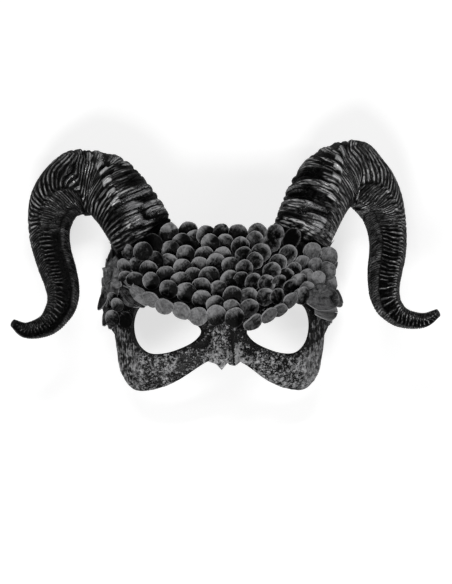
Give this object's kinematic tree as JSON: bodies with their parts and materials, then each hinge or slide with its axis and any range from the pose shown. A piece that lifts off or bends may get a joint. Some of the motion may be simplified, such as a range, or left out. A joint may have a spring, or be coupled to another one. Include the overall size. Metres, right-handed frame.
{
  "type": "horned demon half mask",
  "caption": "Black half mask of a demon with curling ram horns and overlapping round scales over the forehead, open at both eyes.",
  "frame": {"origin": "on the table, under the middle of the mask's outline", "axes": "+Z out of the face, +Y towards the crown, +X to the right of someone looking at the mask"},
  "size_m": [0.2904, 0.1744, 0.0794],
  "materials": {
    "shell": "black, moulded, silver-grey dry-brushed mottling",
    "scales": "dark grey satin with worn light edges",
    "horns": "gloss black, silver dry-brushed near the base"
  },
  "bodies": {
    "root": {"mask_shell": "shell", "horn_left": "horns", "horn_right": "horns", "scale_row_1": "scales", "scale_row_2": "scales", "scale_row_3": "scales", "scale_row_4": "scales", "scale_row_5": "scales", "scale_row_6": "scales", "scale_row_7": "scales", "scale_row_8": "scales", "brow_scales": "scales", "temple_scales_left_1": "scales", "temple_scales_left_2": "scales", "temple_scales_left_3": "scales", "temple_scales_left_4": "scales", "temple_scales_left_5": "scales", "temple_scales_right_1": "scales", "temple_scales_right_2": "scales", "temple_scales_right_3": "scales", "temple_scales_right_4": "scales", "temple_scales_right_5": "scales"}
  },
  "joints": []
}
